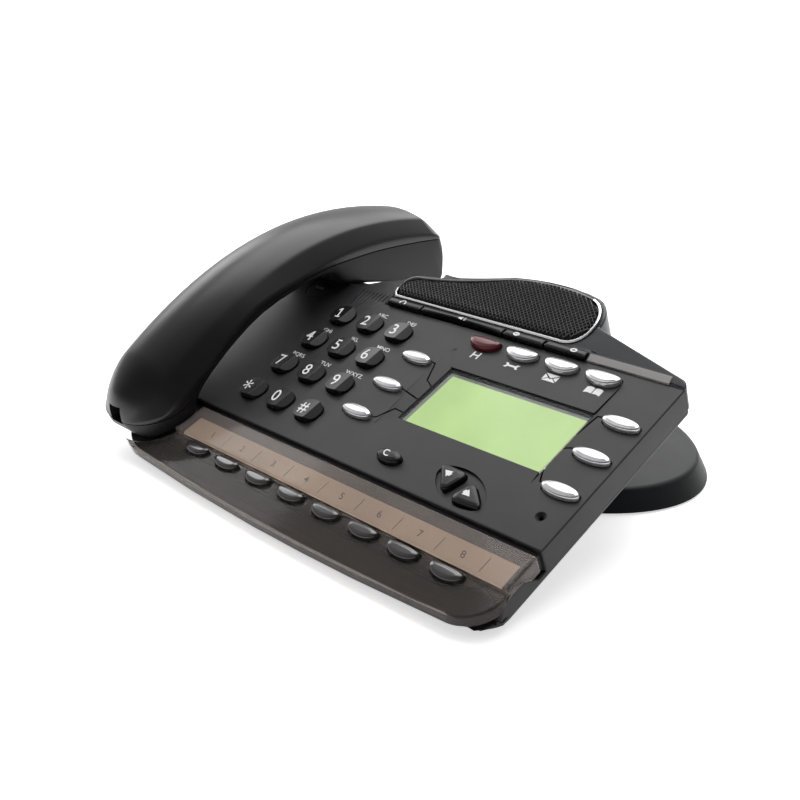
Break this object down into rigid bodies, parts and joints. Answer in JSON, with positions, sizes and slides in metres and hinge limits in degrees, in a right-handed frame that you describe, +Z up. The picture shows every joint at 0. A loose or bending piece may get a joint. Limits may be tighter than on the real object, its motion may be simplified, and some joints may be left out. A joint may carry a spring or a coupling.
{
  "type": "desk phone",
  "caption": "Sloping desk telephone with a cradled handset, number pad, tilted display, line keys under a smoky cover, speaker pod and oval stand.",
  "frame": {"origin": "centre of the bounding box's underside, on the desk", "axes": "+Z up; -Y towards the user; +X to the user's right, along the front edge, with the handset at -X"},
  "size_m": [0.2292, 0.2074, 0.089],
  "materials": {
    "housing": "satin, finely textured",
    "bezel": "satin, cooler grey",
    "bright_rim": "polished plating",
    "grille": "satin mesh",
    "handset": "satin",
    "black_keys": "glossy, white legends",
    "silver_keys": "satin silver paint",
    "maroon_key": "glossy",
    "line_keys": "glossy smoke",
    "smoky_cover": "clear smoky plastic",
    "label": "printed card",
    "display_window": "clear",
    "display": "yellow-green display",
    "lamp": "milky, translucent",
    "board": "varnished laminate",
    "key_mat": "silicone",
    "loudspeaker": "dark frame",
    "capsules": "dark",
    "sockets": "dark translucent plastic",
    "screws": "zinc-plated",
    "stand": "satin",
    "plunger": "smooth",
    "rubber": "matt"
  },
  "bodies": {
    "phone": {"top_cover": "housing", "speaker_bezel": "bezel", "grille_rim": "bright_rim", "speaker_grille": "grille", "clear_cover": "smoky_cover", "label_strip": "label", "base_shell": "housing", "rear_sockets": "sockets", "lcd_window": "display_window", "lcd_module": "display", "main_board": "board", "key_mat": "key_mat", "loudspeaker": "loudspeaker", "message_lamp": "lamp", "case_screws": "screws", "desk_stand": "stand", "rubber_feet": "rubber"},
    "key_1_body": {"key_1": "black_keys"},
    "key_2_body": {"key_2": "black_keys"},
    "key_3_body": {"key_3": "black_keys"},
    "key_4_body": {"key_4": "black_keys"},
    "key_5_body": {"key_5": "black_keys"},
    "key_6_body": {"key_6": "black_keys"},
    "key_7_body": {"key_7": "black_keys"},
    "key_8_body": {"key_8": "black_keys"},
    "key_9_body": {"key_9": "black_keys"},
    "key_star_body": {"key_star": "black_keys"},
    "key_0_body": {"key_0": "black_keys"},
    "key_hash_body": {"key_hash": "black_keys"},
    "soft_key_left_1_body": {"soft_key_left_1": "silver_keys"},
    "soft_key_left_2_body": {"soft_key_left_2": "silver_keys"},
    "soft_key_left_3_body": {"soft_key_left_3": "silver_keys"},
    "soft_key_right_1_body": {"soft_key_right_1": "silver_keys"},
    "soft_key_right_2_body": {"soft_key_right_2": "silver_keys"},
    "soft_key_right_3_body": {"soft_key_right_3": "silver_keys"},
    "hold_key_body": {"hold_key": "maroon_key"},
    "program_key_body": {"program_key": "silver_keys"},
    "message_key_body": {"message_key": "silver_keys"},
    "directory_key_body": {"directory_key": "silver_keys"},
    "clear_key_body": {"clear_key": "black_keys"},
    "scroll_left_key_body": {"scroll_left_key": "black_keys"},
    "scroll_right_key_body": {"scroll_right_key": "black_keys"},
    "headset_key_body": {"headset_key": "black_keys"},
    "speaker_key_body": {"speaker_key": "bezel"},
    "volume_down_key_body": {"volume_down_key": "black_keys"},
    "volume_up_key_body": {"volume_up_key": "black_keys"},
    "line_key_1_body": {"line_key_1": "line_keys"},
    "line_key_2_body": {"line_key_2": "line_keys"},
    "line_key_3_body": {"line_key_3": "line_keys"},
    "line_key_4_body": {"line_key_4": "line_keys"},
    "line_key_5_body": {"line_key_5": "line_keys"},
    "line_key_6_body": {"line_key_6": "line_keys"},
    "line_key_7_body": {"line_key_7": "line_keys"},
    "line_key_8_body": {"line_key_8": "line_keys"},
    "handset": {"handset_outer_shell": "handset", "handset_inner_shell": "handset", "handset_capsules": "capsules", "handset_jack": "sockets"},
    "plunger": {"hook_plunger": "plunger"},
    "tab": {"handset_tab": "housing"}
  },
  "joints": [
    {"name": "key_1_press", "type": "slide", "parent": "phone", "child": "key_1_body", "axis": [0, 0.3746, -0.9272], "range_m": [0, 0.0011], "stiffness_N_per_m": 60, "springref_m": -0.004},
    {"name": "key_2_press", "type": "slide", "parent": "phone", "child": "key_2_body", "axis": [0, 0.3746, -0.9272], "range_m": [0, 0.0011], "stiffness_N_per_m": 60, "springref_m": -0.004},
    {"name": "key_3_press", "type": "slide", "parent": "phone", "child": "key_3_body", "axis": [0, 0.3746, -0.9272], "range_m": [0, 0.0011], "stiffness_N_per_m": 60, "springref_m": -0.004},
    {"name": "key_4_press", "type": "slide", "parent": "phone", "child": "key_4_body", "axis": [0, 0.3746, -0.9272], "range_m": [0, 0.0011], "stiffness_N_per_m": 60, "springref_m": -0.004},
    {"name": "key_5_press", "type": "slide", "parent": "phone", "child": "key_5_body", "axis": [0, 0.3746, -0.9272], "range_m": [0, 0.0011], "stiffness_N_per_m": 60, "springref_m": -0.004},
    {"name": "key_6_press", "type": "slide", "parent": "phone", "child": "key_6_body", "axis": [0, 0.3746, -0.9272], "range_m": [0, 0.0011], "stiffness_N_per_m": 60, "springref_m": -0.004},
    {"name": "key_7_press", "type": "slide", "parent": "phone", "child": "key_7_body", "axis": [0, 0.3746, -0.9272], "range_m": [0, 0.0011], "stiffness_N_per_m": 60, "springref_m": -0.004},
    {"name": "key_8_press", "type": "slide", "parent": "phone", "child": "key_8_body", "axis": [0, 0.3746, -0.9272], "range_m": [0, 0.0011], "stiffness_N_per_m": 60, "springref_m": -0.004},
    {"name": "key_9_press", "type": "slide", "parent": "phone", "child": "key_9_body", "axis": [0, 0.3746, -0.9272], "range_m": [0, 0.0011], "stiffness_N_per_m": 60, "springref_m": -0.004},
    {"name": "key_star_press", "type": "slide", "parent": "phone", "child": "key_star_body", "axis": [0, 0.3746, -0.9272], "range_m": [0, 0.0011], "stiffness_N_per_m": 60, "springref_m": -0.004},
    {"name": "key_0_press", "type": "slide", "parent": "phone", "child": "key_0_body", "axis": [0, 0.3746, -0.9272], "range_m": [0, 0.0011], "stiffness_N_per_m": 60, "springref_m": -0.004},
    {"name": "key_hash_press", "type": "slide", "parent": "phone", "child": "key_hash_body", "axis": [0, 0.3746, -0.9272], "range_m": [0, 0.0011], "stiffness_N_per_m": 60, "springref_m": -0.004},
    {"name": "soft_key_left_1_press", "type": "slide", "parent": "phone", "child": "soft_key_left_1_body", "axis": [0, 0.3746, -0.9272], "range_m": [0, 0.0011], "stiffness_N_per_m": 60, "springref_m": -0.004},
    {"name": "soft_key_left_2_press", "type": "slide", "parent": "phone", "child": "soft_key_left_2_body", "axis": [0, 0.3746, -0.9272], "range_m": [0, 0.0011], "stiffness_N_per_m": 60, "springref_m": -0.004},
    {"name": "soft_key_left_3_press", "type": "slide", "parent": "phone", "child": "soft_key_left_3_body", "axis": [0, 0.3746, -0.9272], "range_m": [0, 0.0011], "stiffness_N_per_m": 60, "springref_m": -0.004},
    {"name": "soft_key_right_1_press", "type": "slide", "parent": "phone", "child": "soft_key_right_1_body", "axis": [0, 0.3746, -0.9272], "range_m": [0, 0.0011], "stiffness_N_per_m": 60, "springref_m": -0.004},
    {"name": "soft_key_right_2_press", "type": "slide", "parent": "phone", "child": "soft_key_right_2_body", "axis": [0, 0.3746, -0.9272], "range_m": [0, 0.0011], "stiffness_N_per_m": 60, "springref_m": -0.004},
    {"name": "soft_key_right_3_press", "type": "slide", "parent": "phone", "child": "soft_key_right_3_body", "axis": [0, 0.3746, -0.9272], "range_m": [0, 0.0011], "stiffness_N_per_m": 60, "springref_m": -0.004},
    {"name": "hold_key_press", "type": "slide", "parent": "phone", "child": "hold_key_body", "axis": [0, 0.3746, -0.9272], "range_m": [0, 0.0011], "stiffness_N_per_m": 60, "springref_m": -0.004},
    {"name": "program_key_press", "type": "slide", "parent": "phone", "child": "program_key_body", "axis": [0, 0.3746, -0.9272], "range_m": [0, 0.0011], "stiffness_N_per_m": 60, "springref_m": -0.004},
    {"name": "message_key_press", "type": "slide", "parent": "phone", "child": "message_key_body", "axis": [0, 0.3746, -0.9272], "range_m": [0, 0.0011], "stiffness_N_per_m": 60, "springref_m": -0.004},
    {"name": "directory_key_press", "type": "slide", "parent": "phone", "child": "directory_key_body", "axis": [0, 0.3746, -0.9272], "range_m": [0, 0.0011], "stiffness_N_per_m": 60, "springref_m": -0.004},
    {"name": "clear_key_press", "type": "slide", "parent": "phone", "child": "clear_key_body", "axis": [0, 0.3746, -0.9272], "range_m": [0, 0.0011], "stiffness_N_per_m": 60, "springref_m": -0.004},
    {"name": "scroll_left_key_press", "type": "slide", "parent": "phone", "child": "scroll_left_key_body", "axis": [0, 0.3746, -0.9272], "range_m": [0, 0.0011], "stiffness_N_per_m": 60, "springref_m": -0.004},
    {"name": "scroll_right_key_press", "type": "slide", "parent": "phone", "child": "scroll_right_key_body", "axis": [0, 0.3746, -0.9272], "range_m": [0, 0.0011], "stiffness_N_per_m": 60, "springref_m": -0.004},
    {"name": "headset_key_press", "type": "slide", "parent": "phone", "child": "headset_key_body", "axis": [0, 0.3746, -0.9272], "range_m": [0, 0.0011], "stiffness_N_per_m": 60, "springref_m": -0.004},
    {"name": "speaker_key_press", "type": "slide", "parent": "phone", "child": "speaker_key_body", "axis": [0, 0.3746, -0.9272], "range_m": [0, 0.0011], "stiffness_N_per_m": 60, "springref_m": -0.004},
    {"name": "volume_down_key_press", "type": "slide", "parent": "phone", "child": "volume_down_key_body", "axis": [0, 0.3746, -0.9272], "range_m": [0, 0.0011], "stiffness_N_per_m": 60, "springref_m": -0.004},
    {"name": "volume_up_key_press", "type": "slide", "parent": "phone", "child": "volume_up_key_body", "axis": [0, 0.3746, -0.9272], "range_m": [0, 0.0011], "stiffness_N_per_m": 60, "springref_m": -0.004},
    {"name": "line_key_1_press", "type": "slide", "parent": "phone", "child": "line_key_1_body", "axis": [0, 0.3746, -0.9272], "range_m": [0, 0.0011], "stiffness_N_per_m": 60, "springref_m": -0.004},
    {"name": "line_key_2_press", "type": "slide", "parent": "phone", "child": "line_key_2_body", "axis": [0, 0.3746, -0.9272], "range_m": [0, 0.0011], "stiffness_N_per_m": 60, "springref_m": -0.004},
    {"name": "line_key_3_press", "type": "slide", "parent": "phone", "child": "line_key_3_body", "axis": [0, 0.3746, -0.9272], "range_m": [0, 0.0011], "stiffness_N_per_m": 60, "springref_m": -0.004},
    {"name": "line_key_4_press", "type": "slide", "parent": "phone", "child": "line_key_4_body", "axis": [0, 0.3746, -0.9272], "range_m": [0, 0.0011], "stiffness_N_per_m": 60, "springref_m": -0.004},
    {"name": "line_key_5_press", "type": "slide", "parent": "phone", "child": "line_key_5_body", "axis": [0, 0.3746, -0.9272], "range_m": [0, 0.0011], "stiffness_N_per_m": 60, "springref_m": -0.004},
    {"name": "line_key_6_press", "type": "slide", "parent": "phone", "child": "line_key_6_body", "axis": [0, 0.3746, -0.9272], "range_m": [0, 0.0011], "stiffness_N_per_m": 60, "springref_m": -0.004},
    {"name": "line_key_7_press", "type": "slide", "parent": "phone", "child": "line_key_7_body", "axis": [0, 0.3746, -0.9272], "range_m": [0, 0.0011], "stiffness_N_per_m": 60, "springref_m": -0.004},
    {"name": "line_key_8_press", "type": "slide", "parent": "phone", "child": "line_key_8_body", "axis": [0, 0.3746, -0.9272], "range_m": [0, 0.0011], "stiffness_N_per_m": 60, "springref_m": -0.004},
    {"name": "handset_lift", "type": "slide", "parent": "phone", "child": "handset", "axis": [0, -0.3746, 0.9272], "range_m": [0, 0.12]},
    {"name": "hook_rise", "type": "slide", "parent": "phone", "child": "plunger", "axis": [0, -0.3746, 0.9272], "range_m": [0, 0.0035]},
    {"name": "tab_turn", "type": "hinge", "parent": "phone", "child": "tab", "pos_m": [-0.08305, 0.01142, 0.05559], "axis": [0, -0.3746, 0.9272], "range_deg": [0, 180]}
  ],
  "couplings": [
    {"joint": "hook_rise", "follows": "handset_lift", "ratio": 0.029167}
  ]
}
